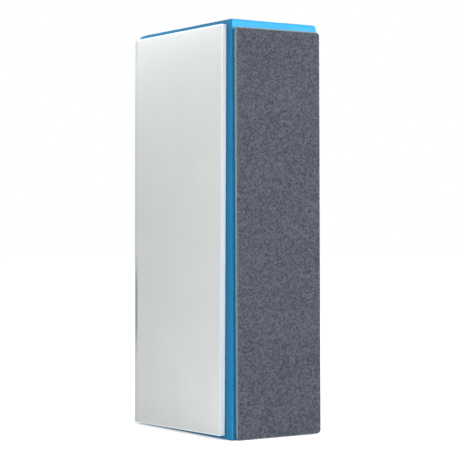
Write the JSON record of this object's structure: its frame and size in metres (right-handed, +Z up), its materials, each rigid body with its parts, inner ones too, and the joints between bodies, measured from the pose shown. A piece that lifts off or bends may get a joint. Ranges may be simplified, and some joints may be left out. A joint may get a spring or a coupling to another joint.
{
  "type": "nail buffer block",
  "caption": "Rectangular foam nail buffer with a smooth shine sheet on one wide face, fine grit on the other, coarse grit on a narrow side and a bare foam grip side.",
  "frame": {"origin": "bottom centre of the whole block's box, on the foam's bottom end face", "axes": "+Z up along the length, -Y out of the shine face, +X out of the coarse face, +Y out of the fine face, -X out of the bare grip side"},
  "size_m": [0.042, 0.026, 0.095],
  "materials": {
    "blue_foam": "matte closed-cell EVA foam, cut faces finely cellular",
    "adhesive": "clear transfer adhesive film",
    "white_cushion": "matte white foamed sheet",
    "shine_film": "satin pale grey polishing film with a fine calendered grain",
    "grey_cushion": "matte light grey foamed sheet",
    "dark_paper": "matte waterproof backing paper",
    "coarse_grit": "dark grey silicon carbide grit in resin, rough and mottled",
    "pale_cushion": "matte pale grey foamed sheet",
    "pale_paper": "matte backing paper",
    "fine_grit": "blue-grey fine grit in resin, velvety"
  },
  "bodies": {
    "root": {"foam_core": "blue_foam", "shine_adhesive": "adhesive", "shine_cushion": "white_cushion", "shine_film": "shine_film", "coarse_adhesive": "adhesive", "coarse_cushion": "grey_cushion", "coarse_paper": "dark_paper", "coarse_grit": "coarse_grit", "fine_adhesive": "adhesive", "fine_cushion": "pale_cushion", "fine_paper": "pale_paper", "fine_grit": "fine_grit"}
  },
  "joints": []
}
